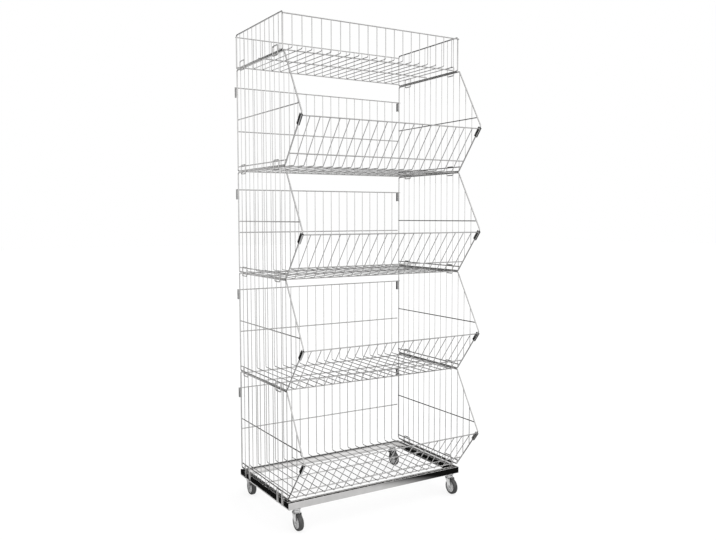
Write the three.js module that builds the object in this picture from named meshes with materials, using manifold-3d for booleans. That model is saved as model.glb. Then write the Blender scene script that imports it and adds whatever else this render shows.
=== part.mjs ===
// Wheeled tower of stacked chrome wire dump baskets under a shallow wire tray.
// Millimetres, +Z up, the open front towards -Y, the left side towards -X.
// The origin is on the floor, under the middle of the whole object's box.
import * as THREE from 'three';
import { mergeVertices } from 'three/addons/utils/BufferGeometryUtils.js';
import Module from 'manifold-3d';

const wasm = await Module();
wasm.setup();

// Baskets: distances between wire centre lines
const tierCount = 4;
const basketWidth = 900;
const basketDepth = 495;
const tierPitch = 466;
const noseReach = 154;
const noseHeight = 202;
const sideMiddleHeight = 241;
const sideSecondHeight = 26.3;
const backTopHeight = 387;
const backMiddleHeight = 189;
const frontTopBelowNose = 15;
const frontMiddleUpSlope = 60;
const floorRodBackInset = 47;
const floorRodFrontInset = 22;
const backRodOverhang = 11;

// Tray on top, sitting a little towards the back
const trayDepth = 484;
const trayHeight = 158;
const trayRimDrop = 8;
const trayRodBackInset = 6;
const trayRodFrontInset = 31;
const traySetBack = 8;

// Wires, all drawn with a square section
const frameWire = 6;
const rodWire = 5;
const crossWire = 3.5;
const fillWire = 3;
const loopWire = 5;
const crossPitch = 45.5;
const fillPitch = 45;

// Stacking loops on the sides
const loopWidth = 48;
const loopRise = 33;
const loopDrop = 12;
const loopOffCentre = 175;

// Sheet clips that hold the bent grids to the side panels
const clipLength = 48;
const clipSheet = 1.5;
const clipOutside = 9;
const clipInside = 7;
const clipBelowNose = 8;
const backClipLength = 42;
const backClipWidth = 12;
const backClipDepth = 14;

// Base frame of rectangular tube
const railHeight = 30;
const railWidth = 25;
const railWall = 2;
const railOverhang = 11.5;
const seatWireHeight = 6;
const seatWireOverLoop = 12;
const loopFootLift = 3;

// Castors
const castorHeight = 93;
const castorInset = 44;
const castorTrail = 15;
const tyreWidth = 22;
const tyreThickness = 10;
const treadWidth = 11;
const treadCrown = 5;
const hubWidth = 25;
const hubRimWidth = 19;
const hubBossRadius = 11;
const axleRadius = 4;
const axleHeadRadius = 6.5;
const axleHeadLength = 4;
const forkSheet = 2.5;
const forkClearance = 0.6;
const forkEndRadius = 10;
const forkCrownRadius = 17;
const wheelHeadroom = 4;
const pinRadius = 6;
const pinHeadRadius = 9;
const pinHeadLength = 2.6;
const capRadius = 18;
const capHeight = 5;
const raceHeight = 8.9;
const boltRadius = 5;
const boltLength = 16;
const nutRadius = 7.4;
const nutHeight = 8;

// Clearances and weld sizes; a piece that is let into another sinks into it
const gap = 0.3;
const sink = 1;
const weldBite = 0.5;
const weldWidth = 2.4;
const mergeDistance = 1e-4;

// Sides of the round pieces
const roundSteps = 20;
const smallSteps = 12;
const arcSteps = 6;

// Values that follow from the sizes above
const halfWidth = basketWidth / 2;
const halfDepth = basketDepth / 2;
const bottomWire = frameWire + gap;
const sideOuter = halfWidth + frameWire / 2;
const sideInner = halfWidth - frameWire / 2;
const slopeRise = noseHeight - bottomWire;
const slopeLength = Math.hypot(noseReach, slopeRise);
const slopeTurn = Math.atan2(slopeRise, -noseReach);
const seatLevel = castorHeight + railHeight + seatWireHeight;
const trayLevel = seatLevel + tierCount * tierPitch;
const trayFloor = bottomWire + frameWire / 2 + gap + rodWire + gap + crossWire / 2;
const backPlane = halfDepth + frameWire / 2 + gap + rodWire / 2;
const rodEnd = sideInner - gap;
const crossReach = Math.floor((sideInner - 2 * rodWire) / crossPitch);
const crossPlaces = Array.from({ length: 2 * crossReach + 1 }, (_, i) => (i - crossReach) * crossPitch);
const railHalfLength = sideOuter;
const railHalfDepth = halfDepth + railOverhang;

// Materials
const metal = (color, roughness) => new THREE.MeshStandardMaterial({ color, roughness, metalness: 1 });
const plastic = (color) => new THREE.MeshStandardMaterial({ color, roughness: 0.6, metalness: 0 });
const chromeWire = metal(0xc4c6c9, 0.2);
const chromeTube = metal(0xb4b6b8, 0.15);
const clipSteel = metal(0x6b6d70, 0.3);
const zinc = metal(0xbfc1c3, 0.4);
const hubPlastic = plastic(0xa9abad);
const tyrePlastic = plastic(0x4f5052);

// Turns a closed three.js geometry into a solid that can be joined and cut.
function solid(geometry) {
  const bare = geometry.index ? geometry.toNonIndexed() : geometry.clone();
  bare.deleteAttribute('normal');
  bare.deleteAttribute('uv');
  const merged = mergeVertices(bare, mergeDistance);
  const vertProperties = new Float32Array(merged.attributes.position.array);
  const triVerts = new Uint32Array(merged.index.array);
  return new wasm.Manifold(new wasm.Mesh({ numProp: 3, vertProperties, triVerts }));
}

// Turns a solid back into a three.js geometry.
function geometryOf(body) {
  const { numProp, vertProperties, triVerts } = body.getMesh();
  const geometry = new THREE.BufferGeometry();
  geometry.setAttribute('position', new THREE.BufferAttribute(vertProperties, numProp));
  geometry.setIndex(new THREE.BufferAttribute(triVerts, 1));
  const flat = geometry.toNonIndexed();
  flat.computeVertexNormals();
  return flat;
}

const join = (bodies) => bodies.reduce((sum, body) => sum.add(body));

function addMesh(group, name, body, material) {
  const mesh = new THREE.Mesh(geometryOf(body), material);
  mesh.name = name;
  group.add(mesh);
  return mesh;
}

// Straight bar between two opposite corners.
function bar([x0, x1], [y0, y1], [z0, z1]) {
  const geometry = new THREE.BoxGeometry(x1 - x0, y1 - y0, z1 - z0);
  geometry.translate((x0 + x1) / 2, (y0 + y1) / 2, (z0 + z1) / 2);
  return solid(geometry);
}

const about = (centre, size) => [centre - size / 2, centre + size / 2];

// Extrudes a shape drawn in the Y-Z plane along X, from x0 to x1.
function alongX(shape, x0, x1) {
  const options = { depth: x1 - x0, bevelEnabled: false, curveSegments: arcSteps };
  const geometry = new THREE.ExtrudeGeometry(shape, options);
  const axes = new THREE.Matrix4().makeBasis(
    new THREE.Vector3(0, 1, 0),
    new THREE.Vector3(0, 0, 1),
    new THREE.Vector3(1, 0, 0),
  );
  geometry.applyMatrix4(axes);
  geometry.translate(x0, 0, 0);
  return solid(geometry);
}

// Solid of revolution about Z from [radius, height] pairs, with flat sides facing the four ways.
function turned(profile, steps) {
  const points = profile.map(([radius, height]) => new THREE.Vector2(radius, height));
  const geometry = new THREE.LatheGeometry(points, steps);
  geometry.rotateX(Math.PI / 2);
  geometry.rotateZ(Math.PI / steps);
  return solid(geometry);
}

// Moves the straight sides of a convex outline outwards by a distance.
function grown(outline, distance) {
  const count = outline.length;
  const lines = outline.map((from, i) => {
    const to = outline[(i + 1) % count];
    const along = to.clone().sub(from).normalize();
    const out = new THREE.Vector2(along.y, -along.x);
    return { from: from.clone().addScaledVector(out, distance), along };
  });
  return lines.map((line, i) => {
    const before = lines[(i + count - 1) % count];
    const offset = line.from.clone().sub(before.from);
    const share = offset.cross(line.along) / before.along.cross(line.along);
    return before.from.clone().addScaledVector(before.along, share);
  });
}

// Closed wire frame that follows an outline in the Y-Z plane.
function wireFrame(outline, size, x) {
  const shape = new THREE.Shape(grown(outline, size / 2));
  shape.holes.push(new THREE.Path(grown(outline, -size / 2)));
  return alongX(shape, x - size / 2, x + size / 2);
}

// Height of the nose line above a place in front of the waist, on its lower or upper slope.
function lowerSlope(y) {
  return bottomWire + slopeRise * Math.max(0, (-halfDepth - y) / noseReach);
}

function upperSlope(y) {
  return tierPitch - (tierPitch - noseHeight) * Math.max(0, (-halfDepth - y) / noseReach);
}

// Stacking loops on the outer face of a side: closed rings on a basket, arches open below on the base.
function loopsOutside(low, seat, closed) {
  const top = seat + loopRise;
  const x = sideOuter + gap + loopWire / 2;
  const pieces = [];
  for (const place of [-loopOffCentre, loopOffCentre]) {
    const [front, back] = about(place, loopWidth);
    const outline = [
      new THREE.Vector2(front, low + loopWire / 2),
      new THREE.Vector2(back, low + loopWire / 2),
      new THREE.Vector2(back, top - loopWire / 2),
      new THREE.Vector2(front, top - loopWire / 2),
    ];
    const ring = wireFrame(outline, loopWire, x);
    const footBar = bar(
      about(x, 2 * loopWire),
      about(place, loopWidth - loopWire),
      [low - sink, low + loopWire + sink],
    );
    pieces.push(closed ? ring : ring.subtract(footBar));
    for (const y of [front, back]) {
      const across = [sideOuter - weldBite, sideOuter + gap + weldBite];
      pieces.push(bar(across, about(y, weldWidth), about(seat, weldWidth)));
    }
  }
  return pieces;
}

// Upright fill wires behind the horizontal wires of a side panel.
function fillWires(backEnd, lastPlace, lowEnd, highEnd) {
  const x = about(halfWidth + fillWire / 2, fillWire - gap);
  const wires = [];
  for (let y = backEnd - fillPitch; y > lastPlace; y -= fillPitch) {
    wires.push(bar(x, about(y, fillWire), [lowEnd(y), highEnd(y)]));
  }
  return wires;
}

// Horizontal wire on the inner face of a side panel, let into the frame at both ends.
function sideRod(height, frontEnd) {
  const x = [halfWidth - gap - rodWire, halfWidth - gap];
  const y = [frontEnd, halfDepth - frameWire / 2 + sink];
  return bar(x, y, about(height, rodWire));
}

// Right side panel of a basket, drawn above its seat level.
function basketSide() {
  const outline = [
    new THREE.Vector2(-halfDepth, bottomWire),
    new THREE.Vector2(halfDepth, bottomWire),
    new THREE.Vector2(halfDepth, tierPitch),
    new THREE.Vector2(-halfDepth, tierPitch),
    new THREE.Vector2(-halfDepth - noseReach, noseHeight),
  ];
  const secondShare = (sideSecondHeight - bottomWire) / slopeRise;
  const middleShare = (tierPitch - sideMiddleHeight) / (tierPitch - noseHeight);
  return join([
    wireFrame(outline, frameWire, halfWidth),
    ...fillWires(halfDepth, -halfDepth - noseReach + fillPitch, lowerSlope, upperSlope),
    sideRod(sideSecondHeight, -halfDepth - noseReach * secondShare),
    sideRod(sideMiddleHeight, -halfDepth - noseReach * middleShare),
    ...loopsOutside(tierPitch - loopDrop, tierPitch, true),
  ]);
}

// Right side panel of the tray.
function traySide() {
  const half = trayDepth / 2;
  const outline = [
    new THREE.Vector2(-half, bottomWire),
    new THREE.Vector2(half, bottomWire),
    new THREE.Vector2(half, trayHeight),
    new THREE.Vector2(-half, trayHeight),
  ];
  return join([
    wireFrame(outline, frameWire, halfWidth),
    ...fillWires(half, -half + fillPitch / 2, () => bottomWire, () => trayHeight),
  ]);
}

const mirrored = (body) => body.mirror([1, 0, 0]);

// Flat grid of cross wires under one end rod, in its own plane: X across, Y up the wires, Z outwards.
function wallGrid(wireFoot, topRod, topRodEnd) {
  const pieces = [bar([-topRodEnd, topRodEnd], about(topRod, rodWire), about(0, rodWire))];
  for (const x of crossPlaces) {
    pieces.push(bar(about(x, crossWire), [wireFoot, topRod - rodWire / 2 + sink], about(0, crossWire)));
  }
  return pieces;
}

// Rod across the outer face of such a grid, welded to its two end wires.
function outerRod(height) {
  const face = crossWire / 2;
  const pieces = [bar([-rodEnd, rodEnd], about(height, rodWire), [face + gap, face + gap + rodWire])];
  for (const x of [crossPlaces[0], crossPlaces.at(-1)]) {
    const across = [face - weldBite, face + gap + weldBite];
    pieces.push(bar(about(x, weldWidth), about(height, weldWidth), across));
  }
  return pieces;
}

// Floor grid: cross wires from front to back at a height, over long rods at the given places.
function floorGrid(height, run, rodPlaces, rodReach) {
  const underside = height - crossWire / 2;
  const rodTop = underside - gap;
  const pieces = crossPlaces.map((x) => bar(about(x, crossWire), run, about(height, crossWire)));
  for (const y of rodPlaces) {
    pieces.push(bar([-rodReach, rodReach], about(y, rodWire), [rodTop - rodWire, rodTop]));
    const welded = y === 0 ? crossPlaces : [crossPlaces[0], crossPlaces.at(-1)];
    for (const x of welded) {
      pieces.push(bar(about(x, weldWidth), about(y, weldWidth), [rodTop - weldBite, underside + weldBite]));
    }
  }
  return join(pieces);
}

// Sheet channel round a frame wire at the right side, open inwards: Y along the wire, Z outwards.
function clipChannel([low, high]) {
  const slot = frameWire / 2 + gap;
  const flange = [-clipInside, clipOutside];
  const web = [clipOutside - clipSheet, clipOutside];
  return join([
    bar([halfWidth - slot - clipSheet, halfWidth - slot], [low, high], flange),
    bar([halfWidth + slot, halfWidth + slot + clipSheet], [low, high], flange),
    bar([halfWidth - slot - sink, halfWidth + slot + sink], [low, high], web),
  ]);
}

const clipFace = halfWidth - frameWire / 2 - gap - clipSheet;

// Sheet channel behind the right back upright, open to the back: Y up, Z outwards from the back plane.
function backClip(top) {
  const side = about(halfWidth, backClipWidth);
  const height = [top - backClipLength, top];
  const web = -rodWire / 2;
  const flange = [web, web + backClipDepth];
  return join([
    bar(side, height, [web, web + clipSheet]),
    bar([side[0], side[0] + clipSheet], height, flange),
    bar([side[1] - clipSheet, side[1]], height, flange),
  ]);
}

// Back wall of a basket with its two clips hanging under the ends of the top rod.
function basketBack() {
  const clip = backClip(backTopHeight - rodWire / 2 + weldBite);
  const foot = bottomWire - crossWire / 2;
  const reach = halfWidth + backRodOverhang;
  const wall = wallGrid(foot, backTopHeight, reach);
  return join([...wall, ...outerRod(backMiddleHeight), clip, mirrored(clip)]);
}

// One basket with its bent grid, side panels and front clips.
function makeTier(number) {
  const tier = new THREE.Group();
  const named = (piece) => `tier${number}_${piece}`;
  const right = basketSide();
  addMesh(tier, named('side_right'), right, chromeWire);
  addMesh(tier, named('side_left'), mirrored(right), chromeWire);
  const run = [-halfDepth + crossWire, backPlane - crossWire / 2 - gap];
  const rodPlaces = [halfDepth - floorRodBackInset, 0, -halfDepth + floorRodFrontInset];
  addMesh(tier, named('grid_floor'), floorGrid(bottomWire, run, rodPlaces, rodEnd), chromeWire);

  const back = addMesh(tier, named('grid_back'), basketBack(), chromeWire);
  back.position.set(0, backPlane, 0);
  back.rotation.set(Math.PI / 2, 0, Math.PI, 'ZYX');

  const slope = new THREE.Group();
  slope.position.set(0, -halfDepth, bottomWire);
  slope.rotation.x = slopeTurn;
  const frontTop = slopeLength - frontTopBelowNose;
  const front = join([...wallGrid(-gap, frontTop, clipFace - gap), ...outerRod(frontMiddleUpSlope)]);
  addMesh(slope, named('grid_front'), front, chromeWire);
  const clipTop = slopeLength - clipBelowNose;
  const clip = clipChannel([clipTop - clipLength, clipTop]);
  addMesh(slope, named('clip_right'), clip, clipSteel);
  addMesh(slope, named('clip_left'), mirrored(clip), clipSteel);
  tier.add(slope);

  tier.position.z = seatLevel + (number - 1) * tierPitch;
  return tier;
}

// Shallow rectangular tray on the top basket, its floor lying on the bottom wires of its sides.
function makeTray() {
  const tray = new THREE.Group();
  const right = traySide();
  addMesh(tray, 'tray_side_right', right, chromeWire);
  addMesh(tray, 'tray_side_left', mirrored(right), chromeWire);
  const wallPlane = trayDepth / 2 + backPlane - halfDepth;
  const floorEnd = wallPlane - crossWire / 2 - gap;
  const rodPlaces = [trayDepth / 2 - trayRodBackInset, 0, -trayDepth / 2 + trayRodFrontInset];
  const floor = floorGrid(trayFloor, [-floorEnd, floorEnd], rodPlaces, halfWidth);
  addMesh(tray, 'tray_grid_floor', floor, chromeWire);
  const wall = join(wallGrid(trayFloor - crossWire / 2, trayHeight - trayRimDrop, sideOuter));
  const front = addMesh(tray, 'tray_grid_front', wall, chromeWire);
  front.position.set(0, -wallPlane, 0);
  front.rotation.x = Math.PI / 2;
  const back = addMesh(tray, 'tray_grid_back', wall, chromeWire);
  back.position.set(0, wallPlane, 0);
  back.rotation.set(Math.PI / 2, 0, Math.PI, 'ZYX');
  tray.position.set(0, traySetBack, trayLevel);
  return tray;
}

// Mitred rectangular tube along X with its outer face at -Y, standing on z = 0.
function railTube(halfLength, boltPlaces) {
  const cut = gap / 2;
  const outer = halfLength - cut;
  const shape = new THREE.Shape([
    new THREE.Vector2(-outer, 0),
    new THREE.Vector2(outer, 0),
    new THREE.Vector2(outer - railWidth, railWidth),
    new THREE.Vector2(-outer + railWidth, railWidth),
  ]);
  const block = solid(new THREE.ExtrudeGeometry(shape, { depth: railHeight, bevelEnabled: false }));
  const hollow = bar(
    [-halfLength - sink, halfLength + sink],
    [railWall, railWidth - railWall],
    [railWall, railHeight - railWall],
  );
  const holeRadius = boltRadius + gap;
  const holeTop = railWall + sink;
  const hole = turned([[0, -sink], [holeRadius, -sink], [holeRadius, holeTop], [0, holeTop]], smallSteps);
  const holes = boltPlaces.map((x) => hole.translate([x, railWidth / 2, 0]));
  return [hollow, ...holes].reduce((tube, cutter) => tube.subtract(cutter), block);
}

const castorX = railHalfLength - castorInset;
const castorY = railHalfDepth - railWidth / 2;

// Base frame of four tubes, with a seat wire and two loops on each side.
function makeBase() {
  const base = new THREE.Group();
  const longTube = railTube(railHalfLength, [-castorX, castorX]);
  const sideTube = railTube(railHalfDepth, []);
  const front = addMesh(base, 'base_rail_front', longTube, chromeTube);
  front.position.set(0, -railHalfDepth, castorHeight);
  const back = addMesh(base, 'base_rail_back', longTube, chromeTube);
  back.position.set(0, railHalfDepth, castorHeight);
  back.rotation.z = Math.PI;
  const right = addMesh(base, 'base_rail_right', sideTube, chromeTube);
  right.position.set(railHalfLength, 0, castorHeight);
  right.rotation.z = Math.PI / 2;
  const left = addMesh(base, 'base_rail_left', sideTube, chromeTube);
  left.position.set(-railHalfLength, 0, castorHeight);
  left.rotation.z = -Math.PI / 2;

  const seatHalf = loopOffCentre + loopWidth / 2 + seatWireOverLoop;
  const seat = join([
    bar(about(halfWidth, frameWire), [-seatHalf, seatHalf], about(seatLevel, frameWire)),
    ...loopsOutside(castorHeight + loopFootLift, seatLevel, false),
  ]);
  addMesh(base, 'base_seat_right', seat, chromeWire);
  addMesh(base, 'base_seat_left', mirrored(seat), chromeWire);
  return base;
}

const wheelDiameter = castorHeight - 2 * gap - capHeight - raceHeight - forkSheet - wheelHeadroom;
const wheelRadius = wheelDiameter / 2;
const flatToCorner = 1 / Math.cos(Math.PI / roundSteps);
const crownUnder = wheelDiameter + wheelHeadroom;
const crownTop = crownUnder + forkSheet;
const capUnder = castorHeight - gap - capHeight;
const forkInner = hubWidth / 2 + forkClearance;
const forkOuter = forkInner + forkSheet;

// Fixed pin of a castor: pin head under the crown, cap over it, bolt and nut through the tube wall.
function castorPin() {
  const capTop = castorHeight - gap;
  const nutUnder = castorHeight + railWall + gap;
  const nutTop = nutUnder + nutHeight;
  const headTop = crownUnder - gap;
  return turned([
    [0, headTop - pinHeadLength],
    [pinHeadRadius, headTop - pinHeadLength],
    [pinHeadRadius, headTop],
    [pinRadius, headTop],
    [pinRadius, capUnder],
    [capRadius, capUnder],
    [capRadius, capTop],
    [boltRadius, capTop],
    [boltRadius, nutUnder],
    [nutRadius, nutUnder],
    [nutRadius, nutTop],
    [boltRadius, nutTop],
    [boltRadius, castorHeight + boltLength],
    [0, castorHeight + boltLength],
  ], smallSteps);
}

// Swivelling fork: two side plates, a crown plate and a race ring round the pin.
function castorFork() {
  const plate = new THREE.Shape();
  plate.absarc(-castorTrail, wheelRadius, forkEndRadius, Math.PI, 2 * Math.PI, false);
  plate.lineTo(forkCrownRadius, crownTop);
  plate.lineTo(-forkCrownRadius, crownTop);
  plate.closePath();
  const crown = bar(
    [-forkInner - sink, forkInner + sink],
    [-forkCrownRadius, forkCrownRadius],
    [crownUnder, crownTop],
  );
  const race = turned([
    [0, crownTop - sink],
    [forkCrownRadius - sink, crownTop - sink],
    [forkCrownRadius - sink, capUnder - gap],
    [0, capUnder - gap],
  ], smallSteps);
  const pinHole = turned([
    [0, crownUnder - sink],
    [pinRadius + gap, crownUnder - sink],
    [pinRadius + gap, castorHeight],
    [0, castorHeight],
  ], smallSteps);
  const axleHole = axleRound(axleRadius + gap, -forkOuter - sink, forkOuter + sink);
  const plates = [alongX(plate, forkInner, forkOuter), alongX(plate, -forkOuter, -forkInner)];
  return join([...plates, crown, race]).subtract(pinHole).subtract(axleHole);
}

// Round bar along the axle line, in the castor's own frame.
function axleRound(radius, x0, x1) {
  return onAxle([[0, x0], [radius, x0], [radius, x1], [0, x1]], smallSteps);
}

// Turns a profile of [radius, x] pairs about the axle line.
function onAxle(profile, steps) {
  return turned(profile, steps).rotate([0, 90, 0]).translate([0, -castorTrail, wheelRadius]);
}

// Axle with a head at each end.
function castorAxle() {
  const shoulder = forkOuter + gap;
  const end = shoulder + axleHeadLength;
  return onAxle([
    [0, -end],
    [axleHeadRadius, -end],
    [axleHeadRadius, -shoulder],
    [axleRadius, -shoulder],
    [axleRadius, shoulder],
    [axleHeadRadius, shoulder],
    [axleHeadRadius, end],
    [0, end],
  ], smallSteps);
}

// Hub: a disc that is thicker at its boss than at the rim that carries the tyre.
function castorHub() {
  const bore = axleRadius + gap;
  const rim = wheelRadius - tyreThickness - gap;
  return onAxle([
    [bore, -hubWidth / 2],
    [hubBossRadius, -hubWidth / 2],
    [rim, -hubRimWidth / 2],
    [rim, hubRimWidth / 2],
    [hubBossRadius, hubWidth / 2],
    [bore, hubWidth / 2],
    [bore, -hubWidth / 2],
  ], roundSteps);
}

// Tyre: a ring with a crowned tread, flat side down on the floor.
function castorTyre() {
  const inner = (wheelRadius - tyreThickness) * flatToCorner;
  const tread = wheelRadius * flatToCorner;
  const shoulder = tread - treadCrown;
  return onAxle([
    [inner, -tyreWidth / 2],
    [shoulder, -tyreWidth / 2],
    [tread, -treadWidth / 2],
    [tread, treadWidth / 2],
    [shoulder, tyreWidth / 2],
    [inner, tyreWidth / 2],
    [inner, -tyreWidth / 2],
  ], roundSteps);
}

// Four castors under the long tubes, all trailing towards the front.
function makeCastors() {
  const castors = new THREE.Group();
  const corners = { fl: [-1, -1], fr: [1, -1], bl: [-1, 1], br: [1, 1] };
  const pieces = {
    pin: [castorPin(), zinc],
    fork: [castorFork(), zinc],
    axle: [castorAxle(), zinc],
    hub: [castorHub(), hubPlastic],
    tyre: [castorTyre(), tyrePlastic],
  };
  for (const [corner, [sideX, sideY]] of Object.entries(corners)) {
    const castor = new THREE.Group();
    castor.position.set(sideX * castorX, sideY * castorY, 0);
    for (const [piece, [body, material]] of Object.entries(pieces)) {
      addMesh(castor, `castor_${corner}_${piece}`, body, material);
    }
    castors.add(castor);
  }
  return castors;
}

const assembly = new THREE.Group();
assembly.add(makeBase(), makeCastors(), makeTray());
for (let number = 1; number <= tierCount; number += 1) {
  assembly.add(makeTier(number));
}

// The middle of the box, from the nose clips to the back wheels, comes to the origin.
const box = new THREE.Box3().setFromObject(assembly, true);
const middle = box.getCenter(new THREE.Vector3());
assembly.position.set(-middle.x, -middle.y, -box.min.z);

const dumpBin = new THREE.Group();
dumpBin.add(assembly);
export default dumpBin;
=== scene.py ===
"""Looks of a wheeled tower of stacked chrome wire baskets: round wires, sheet clips, tube base, castors."""
import math

import bmesh
import bpy
from mathutils import Matrix, Vector


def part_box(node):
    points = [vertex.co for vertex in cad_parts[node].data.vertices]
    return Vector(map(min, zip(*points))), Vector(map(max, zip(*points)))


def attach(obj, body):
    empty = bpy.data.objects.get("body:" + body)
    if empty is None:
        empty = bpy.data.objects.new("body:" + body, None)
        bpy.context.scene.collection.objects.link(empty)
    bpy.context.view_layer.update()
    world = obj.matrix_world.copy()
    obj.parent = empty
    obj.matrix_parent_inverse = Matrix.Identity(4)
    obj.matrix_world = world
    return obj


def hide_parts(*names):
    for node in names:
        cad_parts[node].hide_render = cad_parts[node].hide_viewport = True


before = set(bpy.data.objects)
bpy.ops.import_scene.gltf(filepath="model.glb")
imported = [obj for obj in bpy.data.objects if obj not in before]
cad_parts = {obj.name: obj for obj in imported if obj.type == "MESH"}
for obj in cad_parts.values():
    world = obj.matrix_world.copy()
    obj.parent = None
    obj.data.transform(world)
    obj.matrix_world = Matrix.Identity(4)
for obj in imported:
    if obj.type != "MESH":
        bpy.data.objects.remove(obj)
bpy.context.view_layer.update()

MM = 0.001

# Baskets: distances between wire centre lines, as in the solids, and counts of wires
TIERS = 4
HALF_WIDTH = 450 * MM
HALF_DEPTH = 247.5 * MM
TIER_PITCH = 466 * MM
SEAT_LEVEL = 129 * MM
NOSE_REACH = 154 * MM
NOSE_HEIGHT = 202 * MM
BOTTOM_WIRE = 6.3 * MM
WALL_OUTSIDE = 5.8 * MM
BACK_TOP = 387 * MM
BACK_MIDDLE = 189 * MM
BACK_ROD_OVERHANG = 11 * MM
FRONT_TOP_BELOW_NOSE = 15 * MM
FRONT_MIDDLE_UP_SLOPE = 60 * MM
FLOOR_ROD_BACK_INSET = 47 * MM
FLOOR_ROD_FRONT_INSET = 22 * MM
SIDE_SECOND_ROD = 26.3 * MM
SIDE_MIDDLE_ROD = 241 * MM
CROSS_PITCH = 45.5 * MM
CROSS_EACH_SIDE = 9
FILL_PITCH = 45 * MM
FILL_COUNT = 13

# Tray
TRAY_HALF_DEPTH = 242 * MM
TRAY_SET_BACK = 8 * MM
TRAY_SIDE_RIM = 158 * MM
TRAY_END_RIM = 150 * MM
TRAY_FLOOR = 16.65 * MM
TRAY_ROD_BACK_INSET = 6 * MM
TRAY_ROD_FRONT_INSET = 31 * MM
TRAY_FILL_COUNT = 10

# Wire radii, bends, how far a weld presses one wire into the next, and the chamfer of a cut end as shares of
# the wire's radius
FRAME_RADIUS = 3 * MM
ROD_RADIUS = 2.5 * MM
CROSS_RADIUS = 1.75 * MM
FILL_RADIUS = 1.5 * MM
LOOP_RADIUS = 2.5 * MM
FRAME_BEND = 9 * MM
CROSS_BEND = 8 * MM
LOOP_BEND = 7 * MM
WELD_PRESS = 0.3 * MM
TIP_LENGTH = 0.35
TIP_RADIUS = 0.65
WIRE_SIDES = 12
FILL_SIDES = 8
BEND_STEPS = 6

# Stacking loops
LOOP_HALF = 24 * MM
LOOP_OFF_CENTRE = 175 * MM
LOOP_RISE = 30.5 * MM
LOOP_DROP = 9.5 * MM

# Sheet clips
CLIP_SHEET = 1.5 * MM
CLIP_BEND = 2.6 * MM
CLIP_LENGTH = 48 * MM
CLIP_BELOW_NOSE = 8 * MM
CLIP_HALF = 4.8 * MM
CLIP_OUTSIDE = 9 * MM
CLIP_INSIDE = 7 * MM
BACK_CLIP_LENGTH = 42 * MM
BACK_CLIP_HALF = 6 * MM
BACK_CLIP_DEPTH = 14 * MM

# Base tube
RAIL_BOTTOM = 93 * MM
RAIL_TOP = 123 * MM
RAIL_WIDTH = 25 * MM
RAIL_EDGE = 1.2 * MM
RAIL_EDGE_STEPS = 5
RAIL_HALF_LENGTH = 453 * MM
RAIL_HALF_DEPTH = 259 * MM
SEAT_HALF = 211 * MM
ARCH_FOOT = 96 * MM

# Castors
CASTOR_X = 409 * MM
CASTOR_Y = 246.5 * MM
CASTOR_TRAIL = 15 * MM
WHEEL_RADIUS = 36 * MM
AXLE_RADIUS = 4 * MM
AXLE_HALF = 16 * MM
FORK_INNER = 13.1 * MM
FORK_SHEET = 2.5 * MM
FORK_BEND = 3 * MM
FORK_END = 10 * MM
FORK_CROWN = 17 * MM
CROWN_TOP = 78.5 * MM
FORK_FOOT_SHARES = (0.02, 0.15, 0.45)
FORK_LEG_SHARES = (0.2, 0.4, 0.6, 0.75)
AXLE_SIDES = 20
BOLT_SIDES = 6
TURN_STEPS = 40

# Materials: noise scales per metre, relief depths in metres, and the part of a noise field that is used
FIELD = (0.3, 0.7)
PATCH_DETAIL = 4.0
PLATING_SCALE = 28.0
GRAIN_SCALE = 900.0
GRAIN_DETAIL = 2.0
GRAIN_DEPTH = 0.00004
MOULDING_SCALE = 60.0
SKIN_DETAIL = 3.0
SKIN_DEPTH = 0.0001

# Shading: an edge with a wider turn than this stays sharp
SHARP_ANGLE = math.radians(42)

# Camera, as fitted to the photograph: angles in radians, lens and sensor in millimetres
CAMERA_PLACE = (-1.80686, -2.98449, 1.32233)
CAMERA_YAW = 0.545648
CAMERA_PITCH = 0.070325
CAMERA_ROLL = -0.00191
CAMERA_LENS = 38.0305
SENSOR_WIDTH = 36.0
VIEW_LIMIT = 100

# Floor and overhead light
WHITE = (1, 1, 1, 1)
BLACK = (0, 0, 0, 1)
FLOOR_REACH = 30
FLOOR_SHADE = 0.12
FLOOR_GLOW = 0.83
FLOOR_ROUGHNESS = 0.9
SUN_STRENGTH = 4.0
SUN_ANGLE = math.radians(100)
SUN_TILT = (math.radians(12), math.radians(8), 0)

# Surroundings that the metal mirrors: their tones, the headings of the dark parts, and the cosines or heights
# between which one tone turns into the next
LIGHT_TONE = 1.0
LOW_LIGHT_TONE = 0.72
DARK_TONE = 0.008
BACK_LEFT = Vector((-0.766, 0.643, 0.0))
BACK_LEFT_EDGE = (0.899, 0.921)
CLIP_SIDE = Vector((-0.643, 0.766, 0.0))
CLIP_SIDE_EDGE = (0.956, 0.974)
CLIP_SIDE_HEIGHT = (0.0, 0.05)
UPPER_BACK_HEIGHT = (0.12, 0.28)
UPPER_BACK_EDGE = (-0.1, 0.3)
LOW_LIGHT_HEIGHT = (-0.35, 0.05)

# Cards on the floor that only the metal mirrors: two corners, the places from left to right between which the
# tone changes, and the tone before and after them
CARD_LIFT = 0.001
CARDS = (
    ("card_front", (0.0, -3.0), (3.0, -0.25), (0.1, 0.5), (LOW_LIGHT_TONE, DARK_TONE)),
    ("card_under", (-0.53, -0.15), (0.61, 0.06), (-0.53, 0.61), (LIGHT_TONE, LIGHT_TONE)),
    ("card_left", (-0.8, -0.05), (-0.54, 0.8), (-0.8, -0.54), (DARK_TONE, DARK_TONE)),
    ("card_back", (-0.54, 0.45), (0.62, 1.3), (-0.4, 0.2), (LOW_LIGHT_TONE, DARK_TONE)),
    ("card_right", (0.62, -0.2), (1.3, 0.9), (0.62, 1.0), (DARK_TONE, LOW_LIGHT_TONE)),
)

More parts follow.
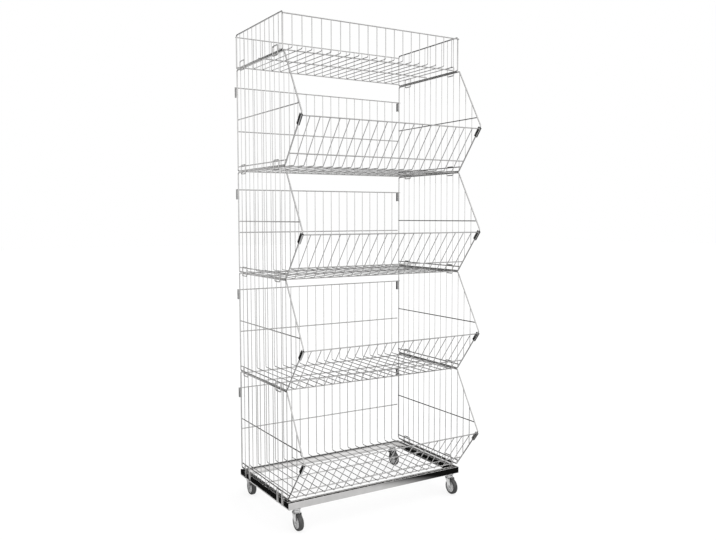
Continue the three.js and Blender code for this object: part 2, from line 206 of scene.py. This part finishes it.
# Directions, and values that follow from the ones above
SIDES = ((-1, "left"), (1, "right"))
SHIFT_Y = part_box("base_rail_front")[0][1] + RAIL_HALF_DEPTH
SLOPE_RISE = NOSE_HEIGHT - BOTTOM_WIRE
SLOPE_LENGTH = math.hypot(NOSE_REACH, SLOPE_RISE)
SLOPE_UP = Vector((0, -NOSE_REACH, SLOPE_RISE)).normalized()
SLOPE_OUT = Vector((0, -SLOPE_RISE, -NOSE_REACH)).normalized()
ACROSS = Vector((1, 0, 0))
UPWARDS = Vector((0, 0, 1))
BACKWARDS = Vector((0, 1, 0))
BASKET_RODS = (HALF_DEPTH - FLOOR_ROD_BACK_INSET, 0.0, FLOOR_ROD_FRONT_INSET - HALF_DEPTH)
TRAY_RODS = (TRAY_HALF_DEPTH - TRAY_ROD_BACK_INSET, 0.0, TRAY_ROD_FRONT_INSET - TRAY_HALF_DEPTH)
CROSS_PLACES = [number * CROSS_PITCH for number in range(-CROSS_EACH_SIDE, CROSS_EACH_SIDE + 1)]


def at(x, y, z):
    """A point given from the middle of the base, in the frame of the solids."""
    return Vector((x, y + SHIFT_Y, z))


def level(number):
    """Seat level of a tier, the tray being the one after the last basket."""
    return SEAT_LEVEL + (number - 1) * TIER_PITCH


# Mesh helpers
def fillet(corners, radius, closed=False, steps=BEND_STEPS):
    """The corner points with an arc in place of each corner."""
    count = len(corners)
    path = []
    for place, corner in enumerate(corners):
        if not closed and place in (0, count - 1):
            path.append(corner)
            continue
        before = (corners[place - 1] - corner).normalized()
        after = (corners[(place + 1) % count] - corner).normalized()
        half = before.angle(after) / 2
        centre = corner + (before + after).normalized() * (radius / math.sin(half))
        first = corner + before * (radius / math.tan(half)) - centre
        last = corner + after * (radius / math.tan(half)) - centre
        axis = first.cross(last).normalized()
        for step in range(steps + 1):
            turn = Matrix.Rotation(first.angle(last) * step / steps, 3, axis)
            path.append(centre + turn @ first)
    return path


def bridge(mesh, rings, closed=False):
    """Faces between rings of points that follow each other."""
    count = len(rings[0])
    pairs = list(zip(rings, rings[1:]))
    if closed:
        pairs.append((rings[-1], rings[0]))
    for low, high in pairs:
        for place in range(count):
            after = (place + 1) % count
            mesh.faces.new((low[place], low[after], high[after], high[place]))


def ring(mesh, centre, first, second, radius, sides):
    """A ring of points about a centre."""
    points = []
    for step in range(sides):
        angle = 2 * math.pi * step / sides
        outwards = math.cos(angle) * first + math.sin(angle) * second
        points.append(mesh.verts.new(centre + radius * outwards))
    return points


def wire(mesh, path, radius, plane=ACROSS, closed=False, sides=WIRE_SIDES):
    """A round wire along a path that lies in the plane with the given normal."""
    count = len(path)
    stations = []
    for place, point in enumerate(path):
        after = path[(place + 1) % count] if closed else path[min(place + 1, count - 1)]
        before = path[place - 1] if closed else path[max(place - 1, 0)]
        stations.append((point, (after - before).normalized(), 1.0))
    if not closed:
        tip = TIP_LENGTH * radius
        start, onward, _ = stations[0]
        stations[0] = (start + onward * tip, onward, 1.0)
        stations.insert(0, (start, onward, TIP_RADIUS))
        end, onward, _ = stations[-1]
        stations[-1] = (end - onward * tip, onward, 1.0)
        stations.append((end, onward, TIP_RADIUS))
    rings = [
        ring(mesh, point, plane, along.cross(plane).normalized(), radius * share, sides)
        for point, along, share in stations
    ]
    bridge(mesh, rings, closed)
    if not closed:
        mesh.faces.new(rings[0])
        mesh.faces.new(rings[-1])


def long_rod(mesh, middle, half):
    """A rod from left to right."""
    wire(mesh, [middle - half * ACROSS, middle + half * ACROSS], ROD_RADIUS, UPWARDS)


def turned(mesh, profile, place, axis, steps=TURN_STEPS):
    """A closed turned body from (radius, height) pairs along an axis; a radius of 0 closes an end."""
    first = axis.orthogonal().normalized()
    second = axis.cross(first)
    rings = []
    for radius, height in profile:
        centre = place + axis * height
        if radius == 0:
            rings.append([mesh.verts.new(centre)])
        else:
            rings.append(ring(mesh, centre, first, second, radius, steps))
    for low, high in zip(rings, rings[1:]):
        for step in range(steps):
            after = (step + 1) % steps
            lower = [low[step % len(low)], low[after % len(low)]]
            upper = [high[after % len(high)], high[step % len(high)]]
            mesh.faces.new(list(dict.fromkeys(lower + upper)))


def turned_ring(mesh, profile, place, axis, steps=TURN_STEPS):
    """A turned ring: the profile closes on itself."""
    first = axis.orthogonal().normalized()
    second = axis.cross(first)
    rings = [ring(mesh, place + axis * height, first, second, radius, steps) for radius, height in profile]
    bridge(mesh, rings, closed=True)


def add_object(name, mesh, material):
    """An object in the scene from a mesh and its material."""
    data = bpy.data.meshes.new(name)
    mesh.to_mesh(data)
    mesh.free()
    data.materials.append(material)
    thing = bpy.data.objects.new(name, data)
    bpy.context.scene.collection.objects.link(thing)
    return thing


def piece(name, mesh, material, slot, body, *nodes):
    """Turns a mesh into a piece of the object that rides on a body and stands for the nodes."""
    bmesh.ops.recalc_face_normals(mesh, faces=mesh.faces)
    thing = add_object(name, mesh, material)
    thing.data.shade_smooth()
    thing.data.set_sharp_from_angle(angle=SHARP_ANGLE)
    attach(thing, body)
    if nodes:
        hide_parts(*nodes)


# Materials
def new_material(name):
    """A material with its node tree and its shader."""
    material = bpy.data.materials.new(name)
    material.use_nodes = True
    tree = material.node_tree
    return material, tree, tree.nodes["Principled BSDF"]


def own_place(tree):
    """The object's own coordinates."""
    return tree.nodes.new("ShaderNodeTexCoord").outputs["Object"]


def noise(tree, place, scale, detail=PATCH_DETAIL):
    """A noise field of a given scale per metre."""
    field = tree.nodes.new("ShaderNodeTexNoise")
    field.inputs["Scale"].default_value = scale
    field.inputs["Detail"].default_value = detail
    tree.links.new(place, field.inputs["Vector"])
    return field.outputs["Fac"]


def ramp(tree, value, places, ends=(0.0, 1.0), shape="SMOOTHSTEP"):
    """A value that goes from one end to the other between two places, and keeps the ends beyond them."""
    step = tree.nodes.new("ShaderNodeMapRange")
    step.interpolation_type = shape
    step.inputs["From Min"].default_value = places[0]
    step.inputs["From Max"].default_value = places[1]
    step.inputs["To Min"].default_value = ends[0]
    step.inputs["To Max"].default_value = ends[1]
    tree.links.new(value, step.inputs["Value"])
    return step.outputs["Result"]


def tint(tree, value, dark, light):
    """A colour between two tones that follows a field."""
    tones = tree.nodes.new("ShaderNodeValToRGB")
    first, last = tones.color_ramp.elements
    first.position, last.position = FIELD
    first.color = (*dark, 1)
    last.color = (*light, 1)
    tree.links.new(value, tones.inputs["Fac"])
    return tones.outputs["Color"]


def bump(tree, shader, value, distance, strength):
    """Fine relief from a field."""
    relief = tree.nodes.new("ShaderNodeBump")
    relief.inputs["Distance"].default_value = distance
    relief.inputs["Strength"].default_value = strength
    tree.links.new(value, relief.inputs["Height"])
    tree.links.new(relief.outputs["Normal"], shader.inputs["Normal"])


def plated(name, dark, light, smooth, rough, wave):
    """Plated metal with patches of duller plating and a slightly uneven surface."""
    material, tree, shader = new_material(name)
    shader.inputs["Metallic"].default_value = 1.0
    place = own_place(tree)
    patches = noise(tree, place, PLATING_SCALE)
    grain = noise(tree, place, GRAIN_SCALE, GRAIN_DETAIL)
    tree.links.new(tint(tree, patches, dark, light), shader.inputs["Base Color"])
    tree.links.new(ramp(tree, patches, FIELD, (smooth, rough), "LINEAR"), shader.inputs["Roughness"])
    bump(tree, shader, grain, GRAIN_DEPTH, wave)
    return material


def moulded(name, dark, light, smooth, rough, scale, relief):
    """Moulded plastic or rubber with a fine matt skin and uneven tone."""
    material, tree, shader = new_material(name)
    place = own_place(tree)
    patches = noise(tree, place, MOULDING_SCALE)
    skin = noise(tree, place, scale, SKIN_DETAIL)
    tree.links.new(tint(tree, patches, dark, light), shader.inputs["Base Color"])
    tree.links.new(ramp(tree, skin, FIELD, (smooth, rough), "LINEAR"), shader.inputs["Roughness"])
    bump(tree, shader, skin, SKIN_DEPTH, relief)
    return material


# Finishes: darkest and lightest tone, least and greatest roughness, and strength of the relief
CHROME = plated(
    "chrome_wire",
    dark=(0.615, 0.61, 0.606),
    light=(0.716, 0.71, 0.705),
    smooth=0.05,
    rough=0.14,
    wave=0.15,
)
CHROME_TUBE = plated(
    "chrome_tube",
    dark=(0.72, 0.714, 0.708),
    light=(0.80, 0.793, 0.787),
    smooth=0.03,
    rough=0.09,
    wave=0.08,
)
CLIP_STEEL = plated(
    "clip_steel",
    dark=(0.56, 0.56, 0.56),
    light=(0.64, 0.64, 0.64),
    smooth=0.08,
    rough=0.16,
    wave=0.15,
)
ZINC = plated(
    "zinc",
    dark=(0.62, 0.62, 0.62),
    light=(0.76, 0.76, 0.76),
    smooth=0.24,
    rough=0.42,
    wave=0.5,
)
HUB_PLASTIC = moulded(
    "hub_plastic",
    dark=(0.42, 0.42, 0.42),
    light=(0.50, 0.50, 0.50),
    smooth=0.42,
    rough=0.6,
    scale=1800.0,
    relief=0.2,
)
TYRE_RUBBER = moulded(
    "tyre_rubber",
    dark=(0.028, 0.028, 0.028),
    light=(0.05, 0.05, 0.05),
    smooth=0.55,
    rough=0.75,
    scale=1400.0,
    relief=0.4,
)


# Baskets
def floor_rods(mesh, floor, places, reach):
    """Long rods welded under the floor wires."""
    height = floor - CROSS_RADIUS - ROD_RADIUS + WELD_PRESS
    for place in places:
        long_rod(mesh, at(0, place, height), reach)


def basket_grid(number):
    """Bent grid of one basket: each cross wire runs down the back, along the floor and up the front."""
    mesh = bmesh.new()
    base = level(number)
    wall = HALF_DEPTH + WALL_OUTSIDE
    waist = at(0, -HALF_DEPTH, base + BOTTOM_WIRE)
    front_top = waist + SLOPE_UP * (SLOPE_LENGTH - FRONT_TOP_BELOW_NOSE)
    corners = [
        at(0, wall, base + BACK_TOP),
        at(0, wall, base + BOTTOM_WIRE),
        waist,
        front_top,
    ]
    path = fillet(corners, CROSS_BEND)
    for place in CROSS_PLACES:
        wire(mesh, [point + place * ACROSS for point in path], CROSS_RADIUS)
    floor_rods(mesh, base + BOTTOM_WIRE, BASKET_RODS, HALF_WIDTH - FRAME_RADIUS)
    off_face = CROSS_RADIUS + ROD_RADIUS - WELD_PRESS
    long_rod(mesh, at(0, wall, base + BACK_TOP), HALF_WIDTH + BACK_ROD_OVERHANG)
    long_rod(mesh, at(0, wall + off_face, base + BACK_MIDDLE), HALF_WIDTH - FRAME_RADIUS)
    long_rod(mesh, front_top, HALF_WIDTH - CLIP_HALF)
    middle = waist + SLOPE_UP * FRONT_MIDDLE_UP_SLOPE + SLOPE_OUT * off_face
    long_rod(mesh, middle, HALF_WIDTH - FRAME_RADIUS)
    nodes = [f"tier{number}_grid_{part}" for part in ("floor", "back", "front")]
    piece(f"tier{number}_bent_grid", mesh, CHROME, "chrome_wire", "tower", *nodes)


def side_wires(mesh, side, outline, fills, rods):
    """Frame, upright fill wires and horizontal wires of one side panel."""
    x = side * HALF_WIDTH
    corners = [at(x, y, z) for y, z in outline]
    wire(mesh, fillet(corners, FRAME_BEND, closed=True), FRAME_RADIUS, closed=True)
    fill_x = side * (HALF_WIDTH + FILL_RADIUS)
    for y, low, high in fills:
        wire(mesh, [at(fill_x, y, low), at(fill_x, y, high)], FILL_RADIUS, sides=FILL_SIDES)
    rod_x = side * (HALF_WIDTH + WELD_PRESS - ROD_RADIUS)
    for z, front_end in rods:
        wire(mesh, [at(rod_x, front_end, z), at(rod_x, HALF_DEPTH, z)], ROD_RADIUS)


def loops(mesh, side, low, high, closed):
    """Two stacking loops on the outer face of a side."""
    x = side * (HALF_WIDTH + FRAME_RADIUS + LOOP_RADIUS - WELD_PRESS)
    for place in (-LOOP_OFF_CENTRE, LOOP_OFF_CENTRE):
        corners = [
            at(x, place - LOOP_HALF, low),
            at(x, place - LOOP_HALF, high),
            at(x, place + LOOP_HALF, high),
            at(x, place + LOOP_HALF, low),
        ]
        wire(mesh, fillet(corners, LOOP_BEND, closed), LOOP_RADIUS, closed=closed)


def nose_share(y):
    """How far a place is from the waist towards the nose, from 0 to 1."""
    return max(0.0, (-HALF_DEPTH - y) / NOSE_REACH)


def basket_side(number, side, word):
    """One side panel of a basket with its stacking loops."""
    mesh = bmesh.new()
    base = level(number)
    top = base + TIER_PITCH
    outline = [
        (-HALF_DEPTH, base + BOTTOM_WIRE),
        (HALF_DEPTH, base + BOTTOM_WIRE),
        (HALF_DEPTH, top),
        (-HALF_DEPTH, top),
        (-HALF_DEPTH - NOSE_REACH, base + NOSE_HEIGHT),
    ]
    fills = []
    for count in range(1, FILL_COUNT + 1):
        y = HALF_DEPTH - count * FILL_PITCH
        low = base + BOTTOM_WIRE + SLOPE_RISE * nose_share(y)
        fills.append((y, low, top - (TIER_PITCH - NOSE_HEIGHT) * nose_share(y)))
    second_end = -HALF_DEPTH - NOSE_REACH * (SIDE_SECOND_ROD - BOTTOM_WIRE) / SLOPE_RISE
    middle_end = -HALF_DEPTH - NOSE_REACH * (TIER_PITCH - SIDE_MIDDLE_ROD) / (TIER_PITCH - NOSE_HEIGHT)
    rods = [(base + SIDE_SECOND_ROD, second_end), (base + SIDE_MIDDLE_ROD, middle_end)]
    side_wires(mesh, side, outline, fills, rods)
    loops(mesh, side, top - LOOP_DROP, top + LOOP_RISE, True)
    name = f"tier{number}_side_{word}"
    piece(f"{name}_panel", mesh, CHROME, "chrome_wire", "tower", name)


def channel(mesh, start, along, outwards, half, low, high):
    """Folded sheet channel from a start point, its flanges from a low edge out to the web at a high one."""
    def fold(inset):
        edge = half - inset
        web = high - inset
        corners = [(-edge, low), (-edge, web), (edge, web), (edge, low)]
        return fillet([start + x * ACROSS + out * outwards for x, out in corners], CLIP_BEND - inset)
    outside = fold(0.0)
    outline = outside + fold(CLIP_SHEET)[::-1]
    rings = [[mesh.verts.new(point + shift) for point in outline] for shift in (Vector(), along)]
    bridge(mesh, rings)
    for points in rings:
        for place in range(len(outside) - 1):
            mirror = len(outline) - 1 - place
            mesh.faces.new((points[place], points[place + 1], points[mirror - 1], points[mirror]))


def front_clip(number, side, word):
    """Clip round the frame wire below the nose of a basket."""
    mesh = bmesh.new()
    waist = at(side * HALF_WIDTH, -HALF_DEPTH, level(number) + BOTTOM_WIRE)
    foot = waist + SLOPE_UP * (SLOPE_LENGTH - CLIP_BELOW_NOSE - CLIP_LENGTH)
    channel(mesh, foot, SLOPE_UP * CLIP_LENGTH, SLOPE_OUT, CLIP_HALF, -CLIP_INSIDE, CLIP_OUTSIDE)
    name = f"tier{number}_clip_{word}"
    piece(f"{name}_sheet", mesh, CLIP_STEEL, "clip_steel", "tower", name)


def back_clips(number):
    """Two clips behind the back uprights, under the ends of a basket's back top rod."""
    mesh = bmesh.new()
    low = level(number) + BACK_TOP - ROD_RADIUS - BACK_CLIP_LENGTH
    web = HALF_DEPTH + WALL_OUTSIDE - ROD_RADIUS
    for side in (-1, 1):
        foot = at(side * HALF_WIDTH, web, low)
        channel(mesh, foot, UPWARDS * BACK_CLIP_LENGTH, -BACKWARDS, BACK_CLIP_HALF, -BACK_CLIP_DEPTH, 0.0)
    piece(f"tier{number}_back_clips", mesh, CLIP_STEEL, "clip_steel", "tower")


def make_tray():
    """Shallow tray on the top basket."""
    base = level(TIERS + 1)
    wall = TRAY_HALF_DEPTH + WALL_OUTSIDE
    mesh = bmesh.new()
    corners = [
        at(0, TRAY_SET_BACK + wall, base + TRAY_END_RIM),
        at(0, TRAY_SET_BACK + wall, base + TRAY_FLOOR),
        at(0, TRAY_SET_BACK - wall, base + TRAY_FLOOR),
        at(0, TRAY_SET_BACK - wall, base + TRAY_END_RIM),
    ]
    path = fillet(corners, CROSS_BEND)
    for place in CROSS_PLACES:
        wire(mesh, [point + place * ACROSS for point in path], CROSS_RADIUS)
    floor_rods(mesh, base + TRAY_FLOOR, [TRAY_SET_BACK + place for place in TRAY_RODS], HALF_WIDTH)
    for end in (-1, 1):
        long_rod(mesh, at(0, TRAY_SET_BACK + end * wall, base + TRAY_END_RIM), HALF_WIDTH + FRAME_RADIUS)
    nodes = [f"tray_grid_{part}" for part in ("floor", "front", "back")]
    piece("tray_bent_grid", mesh, CHROME, "chrome_wire", "tower", *nodes)
    front = TRAY_SET_BACK - TRAY_HALF_DEPTH
    back = TRAY_SET_BACK + TRAY_HALF_DEPTH
    low = base + BOTTOM_WIRE
    high = base + TRAY_SIDE_RIM
    outline = [(front, low), (back, low), (back, high), (front, high)]
    fills = [(back - count * FILL_PITCH, low, high) for count in range(1, TRAY_FILL_COUNT + 1)]
    for side, word in SIDES:
        mesh = bmesh.new()
        side_wires(mesh, side, outline, fills, [])
        piece(f"tray_side_{word}_panel", mesh, CHROME, "chrome_wire", "tower", f"tray_side_{word}")


# Base
def rail(word, outwards, half, reach):
    """Rectangular tube with rounded edges and mitred ends, its outer face at a reach from the middle."""
    mesh = bmesh.new()
    along = outwards.cross(UPWARDS)
    corners = [
        Vector((0, 0, RAIL_BOTTOM)),
        Vector((RAIL_WIDTH, 0, RAIL_BOTTOM)),
        Vector((RAIL_WIDTH, 0, RAIL_TOP)),
        Vector((0, 0, RAIL_TOP)),
    ]
    profile = fillet(corners, RAIL_EDGE, closed=True, steps=RAIL_EDGE_STEPS)
    rings = []
    for end in (-1, 1):
        points = []
        for point in profile:
            flat = outwards * (reach - point.x) + along * (end * (half - point.x))
            points.append(mesh.verts.new(at(flat.x, flat.y, point.z)))
        rings.append(points)
    bridge(mesh, rings)
    mesh.faces.new(rings[0])
    mesh.faces.new(rings[1])
    piece(f"base_rail_{word}_tube", mesh, CHROME_TUBE, "chrome_tube", "tower", f"base_rail_{word}")


def seat(side, word):
    """Seat wire on one side of the base with its two arches."""
    mesh = bmesh.new()
    x = side * HALF_WIDTH
    wire(mesh, [at(x, -SEAT_HALF, SEAT_LEVEL), at(x, SEAT_HALF, SEAT_LEVEL)], FRAME_RADIUS)
    loops(mesh, side, ARCH_FOOT, SEAT_LEVEL + LOOP_RISE, False)
    name = f"base_seat_{word}"
    piece(f"{name}_wire", mesh, CHROME, "chrome_wire", "tower", name)


# Castors
def millimetres(pairs):
    """Profile pairs given in millimetres."""
    return [(radius * MM, height * MM) for radius, height in pairs]


PIN_PROFILE = millimetres([
    (0, 73.1), (7.8, 73.1), (9, 74), (9, 75.6), (6, 75.7), (6, 87.8), (16.8, 87.8), (17.8, 88.6), (18, 90),
    (17.8, 91.6), (16.8, 92.6), (5, 92.7), (5, 108), (4, 109), (0, 109),
])
RACE_PROFILE = millimetres([
    (6.4, 78.2), (16, 78.2), (16.6, 79.4), (16.4, 81.4), (15.6, 83.6), (14.2, 85.6), (12.6, 87), (6.4, 87.2),
])
HUB_PROFILE = millimetres([
    (4.3, -12.5), (10.2, -12.5), (11, -11.7), (11.8, -7.4), (13, -6.4), (20.6, -6.4), (22, -7.4), (22.8, -9),
    (23.6, -9.5), (25.7, -9.5), (25.7, 9.5), (23.6, 9.5), (22.8, 9), (22, 7.4), (20.6, 6.4), (13, 6.4),
    (11.8, 7.4), (11, 11.7), (10.2, 12.5), (4.3, 12.5),
])
TYRE_PROFILE = millimetres([
    (26, -10.4), (26.9, -11), (31, -11), (33.1, -10.2), (34.9, -8.2), (35.8, -5.4), (36, -2), (36, 2),
    (35.8, 5.4), (34.9, 8.2), (33.1, 10.2), (31, 11), (26.9, 11), (26, 10.4),
])
BOLT_HEAD = millimetres([
    (0, 15.9), (6.3, 15.9), (6.3, 16.5), (5.4, 16.5), (5.7, 16.9), (5.7, 19.2), (4.8, 19.9), (0, 19.9),
])


def fork_reach(height):
    """Front and back edge of a fork leg at a height, from the swivel line."""
    if height < WHEEL_RADIUS:
        half = math.sqrt(max(0.0, FORK_END ** 2 - (WHEEL_RADIUS - height) ** 2))
        return -CASTOR_TRAIL - half, -CASTOR_TRAIL + half
    share = (height - WHEEL_RADIUS) / (CROWN_TOP - WHEEL_RADIUS)
    ease = share * share * (3 - 2 * share)
    front = -CASTOR_TRAIL - FORK_END
    back = -CASTOR_TRAIL + FORK_END
    return front + (-FORK_CROWN - front) * ease, back + (FORK_CROWN - back) * share


def fork_path(offset):
    """Bent line of the fork sheet seen from the front, from one leg's end over the crown to the other's."""
    half = FORK_INNER + offset
    foot = WHEEL_RADIUS - FORK_END
    top = CROWN_TOP - FORK_SHEET + offset
    heights = [foot + share * FORK_END for share in FORK_FOOT_SHARES]
    heights.append(WHEEL_RADIUS)
    heights += [WHEEL_RADIUS + share * (top - WHEEL_RADIUS) for share in FORK_LEG_SHARES]
    leg = [Vector((-half, 0, height)) for height in heights]
    bend = fillet([leg[-1], Vector((-half, 0, top)), Vector((0, 0, top))], FORK_BEND + offset)
    left = leg + bend[1:-1]
    right = [Vector((-point.x, 0, point.z)) for point in reversed(left)]
    return left + right


def fork(mesh, place):
    """Pressed fork: one bent sheet with tapered legs, under a ball race."""
    rows = []
    for offset in (0.0, FORK_SHEET):
        edges = []
        for point in fork_path(offset):
            front, back = fork_reach(min(point.z, CROWN_TOP))
            edges.append([
                mesh.verts.new(place + Vector((point.x, front, point.z))),
                mesh.verts.new(place + Vector((point.x, back, point.z))),
            ])
        rows.append(edges)
    rings = [[low[0], low[1], high[1], high[0]] for low, high in zip(*rows)]
    bridge(mesh, rings)
    mesh.faces.new(rings[0])
    mesh.faces.new(rings[-1])
    turned_ring(mesh, RACE_PROFILE, place, UPWARDS)


def make_castor(corner, side_x, side_y):
    """One swivel castor."""
    place = at(side_x * CASTOR_X, side_y * CASTOR_Y, 0)
    axle = place + Vector((0, -CASTOR_TRAIL, WHEEL_RADIUS))
    castor = f"castor_{corner}"
    wheel = f"wheel_{corner}"
    mesh = bmesh.new()
    turned(mesh, PIN_PROFILE, place, UPWARDS)
    piece(f"{castor}_pin_body", mesh, ZINC, "zinc", "tower", f"{castor}_pin")
    mesh = bmesh.new()
    fork(mesh, place)
    piece(f"{castor}_fork_sheet", mesh, ZINC, "zinc", castor, f"{castor}_fork")
    mesh = bmesh.new()
    turned(mesh, BOLT_HEAD, axle, ACROSS, BOLT_SIDES)
    turned(mesh, BOLT_HEAD, axle, -ACROSS, BOLT_SIDES)
    axle_ends = [axle - AXLE_HALF * ACROSS, axle + AXLE_HALF * ACROSS]
    wire(mesh, axle_ends, AXLE_RADIUS, UPWARDS, sides=AXLE_SIDES)
    piece(f"{castor}_axle_bolt", mesh, ZINC, "zinc", castor, f"{castor}_axle")
    mesh = bmesh.new()
    turned_ring(mesh, HUB_PROFILE, axle, ACROSS)
    piece(f"{castor}_hub_disc", mesh, HUB_PLASTIC, "hub_plastic", wheel, f"{castor}_hub")
    mesh = bmesh.new()
    turned_ring(mesh, TYRE_PROFILE, axle, ACROSS)
    piece(f"{castor}_tyre_ring", mesh, TYRE_RUBBER, "tyre_rubber", wheel, f"{castor}_tyre")


# Stage
def make_camera():
    """Camera at the photograph's viewing angle."""
    data = bpy.data.cameras.new("camera")
    data.lens = CAMERA_LENS
    data.sensor_width = SENSOR_WIDTH
    data.sensor_fit = "HORIZONTAL"
    data.clip_end = VIEW_LIMIT
    camera = bpy.data.objects.new("camera", data)
    turn = Matrix.Rotation(-CAMERA_YAW, 4, "Z")
    tilt = Matrix.Rotation(math.pi / 2 - CAMERA_PITCH, 4, "X")
    roll = Matrix.Rotation(CAMERA_ROLL, 4, "Z")
    camera.matrix_world = Matrix.Translation(CAMERA_PLACE) @ turn @ tilt @ roll
    bpy.context.scene.collection.objects.link(camera)
    bpy.context.scene.camera = camera


def make_floor():
    """Plain pale floor."""
    mesh = bmesh.new()
    bmesh.ops.create_grid(mesh, x_segments=1, y_segments=1, size=FLOOR_REACH)
    material, _, shader = new_material("floor")
    shader.inputs["Base Color"].default_value = (FLOOR_SHADE, FLOOR_SHADE, FLOOR_SHADE, 1)
    shader.inputs["Roughness"].default_value = FLOOR_ROUGHNESS
    shader.inputs["Specular IOR Level"].default_value = 0.0
    shader.inputs["Emission Color"].default_value = WHITE
    shader.inputs["Emission Strength"].default_value = FLOOR_GLOW
    floor = add_object("floor", mesh, material)
    floor.visible_glossy = False


def combine(tree, operation, first, second):
    """Two values put together."""
    joined = tree.nodes.new("ShaderNodeMath")
    joined.operation = operation
    tree.links.new(first, joined.inputs[0])
    tree.links.new(second, joined.inputs[1])
    return joined.outputs["Value"]


def level_heading(tree, direction):
    """A direction without its rise, at unit length."""
    flat = tree.nodes.new("ShaderNodeVectorMath")
    flat.operation = "MULTIPLY"
    flat.inputs[1].default_value = (1, 1, 0)
    tree.links.new(direction, flat.inputs[0])
    heading = tree.nodes.new("ShaderNodeVectorMath")
    heading.operation = "NORMALIZE"
    tree.links.new(flat.outputs["Vector"], heading.inputs[0])
    return heading.outputs["Vector"]


def likeness(tree, heading, direction):
    """How closely a heading follows a direction, as the cosine between them."""
    product = tree.nodes.new("ShaderNodeVectorMath")
    product.operation = "DOT_PRODUCT"
    product.inputs[1].default_value = direction
    tree.links.new(heading, product.inputs[0])
    return product.outputs["Value"]


def room_tone(tree):
    """Brightness of the room: light, with a dark part at the back left and one up behind."""
    direction = tree.nodes.new("ShaderNodeTexCoord").outputs["Generated"]
    axes = tree.nodes.new("ShaderNodeSeparateXYZ")
    tree.links.new(direction, axes.inputs["Vector"])
    rise = axes.outputs["Z"]
    heading = level_heading(tree, direction)
    # Low down the whole back left is dark, and higher up only the side of it that the clips mirror
    wide = ramp(tree, likeness(tree, heading, BACK_LEFT), BACK_LEFT_EDGE)
    narrow = ramp(tree, likeness(tree, heading, CLIP_SIDE), CLIP_SIDE_EDGE)
    low = ramp(tree, rise, CLIP_SIDE_HEIGHT, (1.0, 0.0))
    back_left = combine(tree, "MULTIPLY", wide, combine(tree, "MAXIMUM", low, narrow))
    high = ramp(tree, rise, UPPER_BACK_HEIGHT)
    behind = ramp(tree, axes.outputs["Y"], UPPER_BACK_EDGE)
    upper_back = combine(tree, "MULTIPLY", high, behind)
    dark = combine(tree, "MAXIMUM", back_left, upper_back)
    shade = ramp(tree, dark, (0.0, 1.0), (1.0, DARK_TONE))
    light = ramp(tree, rise, LOW_LIGHT_HEIGHT, (LOW_LIGHT_TONE, LIGHT_TONE))
    return combine(tree, "MULTIPLY", shade, light)


def make_world():
    """White backdrop, and a room that lights the object and shows in its metal."""
    world = bpy.data.worlds.new("studio")
    bpy.context.scene.world = world
    world.use_nodes = True
    tree = world.node_tree
    room = tree.nodes["Background"]
    room.inputs["Color"].default_value = WHITE
    tree.links.new(room_tone(tree), room.inputs["Strength"])
    backdrop = tree.nodes.new("ShaderNodeBackground")
    backdrop.inputs["Color"].default_value = WHITE
    path = tree.nodes.new("ShaderNodeLightPath")
    mix = tree.nodes.new("ShaderNodeMixShader")
    tree.links.new(path.outputs["Is Camera Ray"], mix.inputs["Fac"])
    tree.links.new(room.outputs["Background"], mix.inputs[1])
    tree.links.new(backdrop.outputs["Background"], mix.inputs[2])
    tree.links.new(mix.outputs["Shader"], tree.nodes["World Output"].inputs["Surface"])


def make_card(name, low, high, places, tones):
    """A card on the floor that only the metal mirrors; its tone changes between two places across."""
    mesh = bmesh.new()
    corners = [low, (high[0], low[1]), high, (low[0], high[1])]
    mesh.faces.new([mesh.verts.new((x, y, CARD_LIFT)) for x, y in corners])
    material, tree, shader = new_material(name)
    axes = tree.nodes.new("ShaderNodeSeparateXYZ")
    tree.links.new(own_place(tree), axes.inputs["Vector"])
    tone = ramp(tree, axes.outputs["X"], places, tones)
    tree.links.new(tone, shader.inputs["Emission Strength"])
    shader.inputs["Emission Color"].default_value = WHITE
    shader.inputs["Base Color"].default_value = BLACK
    shader.inputs["Specular IOR Level"].default_value = 0.0
    card = add_object(name, mesh, material)
    card.visible_camera = False
    card.visible_diffuse = False
    card.visible_shadow = False


def make_sun():
    """Wide soft light from above."""
    data = bpy.data.lights.new("overhead", "SUN")
    data.energy = SUN_STRENGTH
    data.angle = SUN_ANGLE
    lamp = bpy.data.objects.new("overhead", data)
    lamp.rotation_euler = SUN_TILT
    lamp.visible_glossy = False
    bpy.context.scene.collection.objects.link(lamp)


# The stage and the whole object
make_camera()
make_floor()
make_world()
for card in CARDS:
    make_card(*card)
make_sun()
bpy.context.scene.view_settings.view_transform = "Standard"

for number in range(1, TIERS + 1):
    basket_grid(number)
    back_clips(number)
    for side, word in SIDES:
        basket_side(number, side, word)
        front_clip(number, side, word)
make_tray()
rail("front", -BACKWARDS, RAIL_HALF_LENGTH, RAIL_HALF_DEPTH)
rail("back", BACKWARDS, RAIL_HALF_LENGTH, RAIL_HALF_DEPTH)
rail("left", -ACROSS, RAIL_HALF_DEPTH, RAIL_HALF_LENGTH)
rail("right", ACROSS, RAIL_HALF_DEPTH, RAIL_HALF_LENGTH)
for side, word in SIDES:
    seat(side, word)
for corner, side_x, side_y in (("fl", -1, -1), ("fr", 1, -1), ("bl", -1, 1), ("br", 1, 1)):
    make_castor(corner, side_x, side_y)
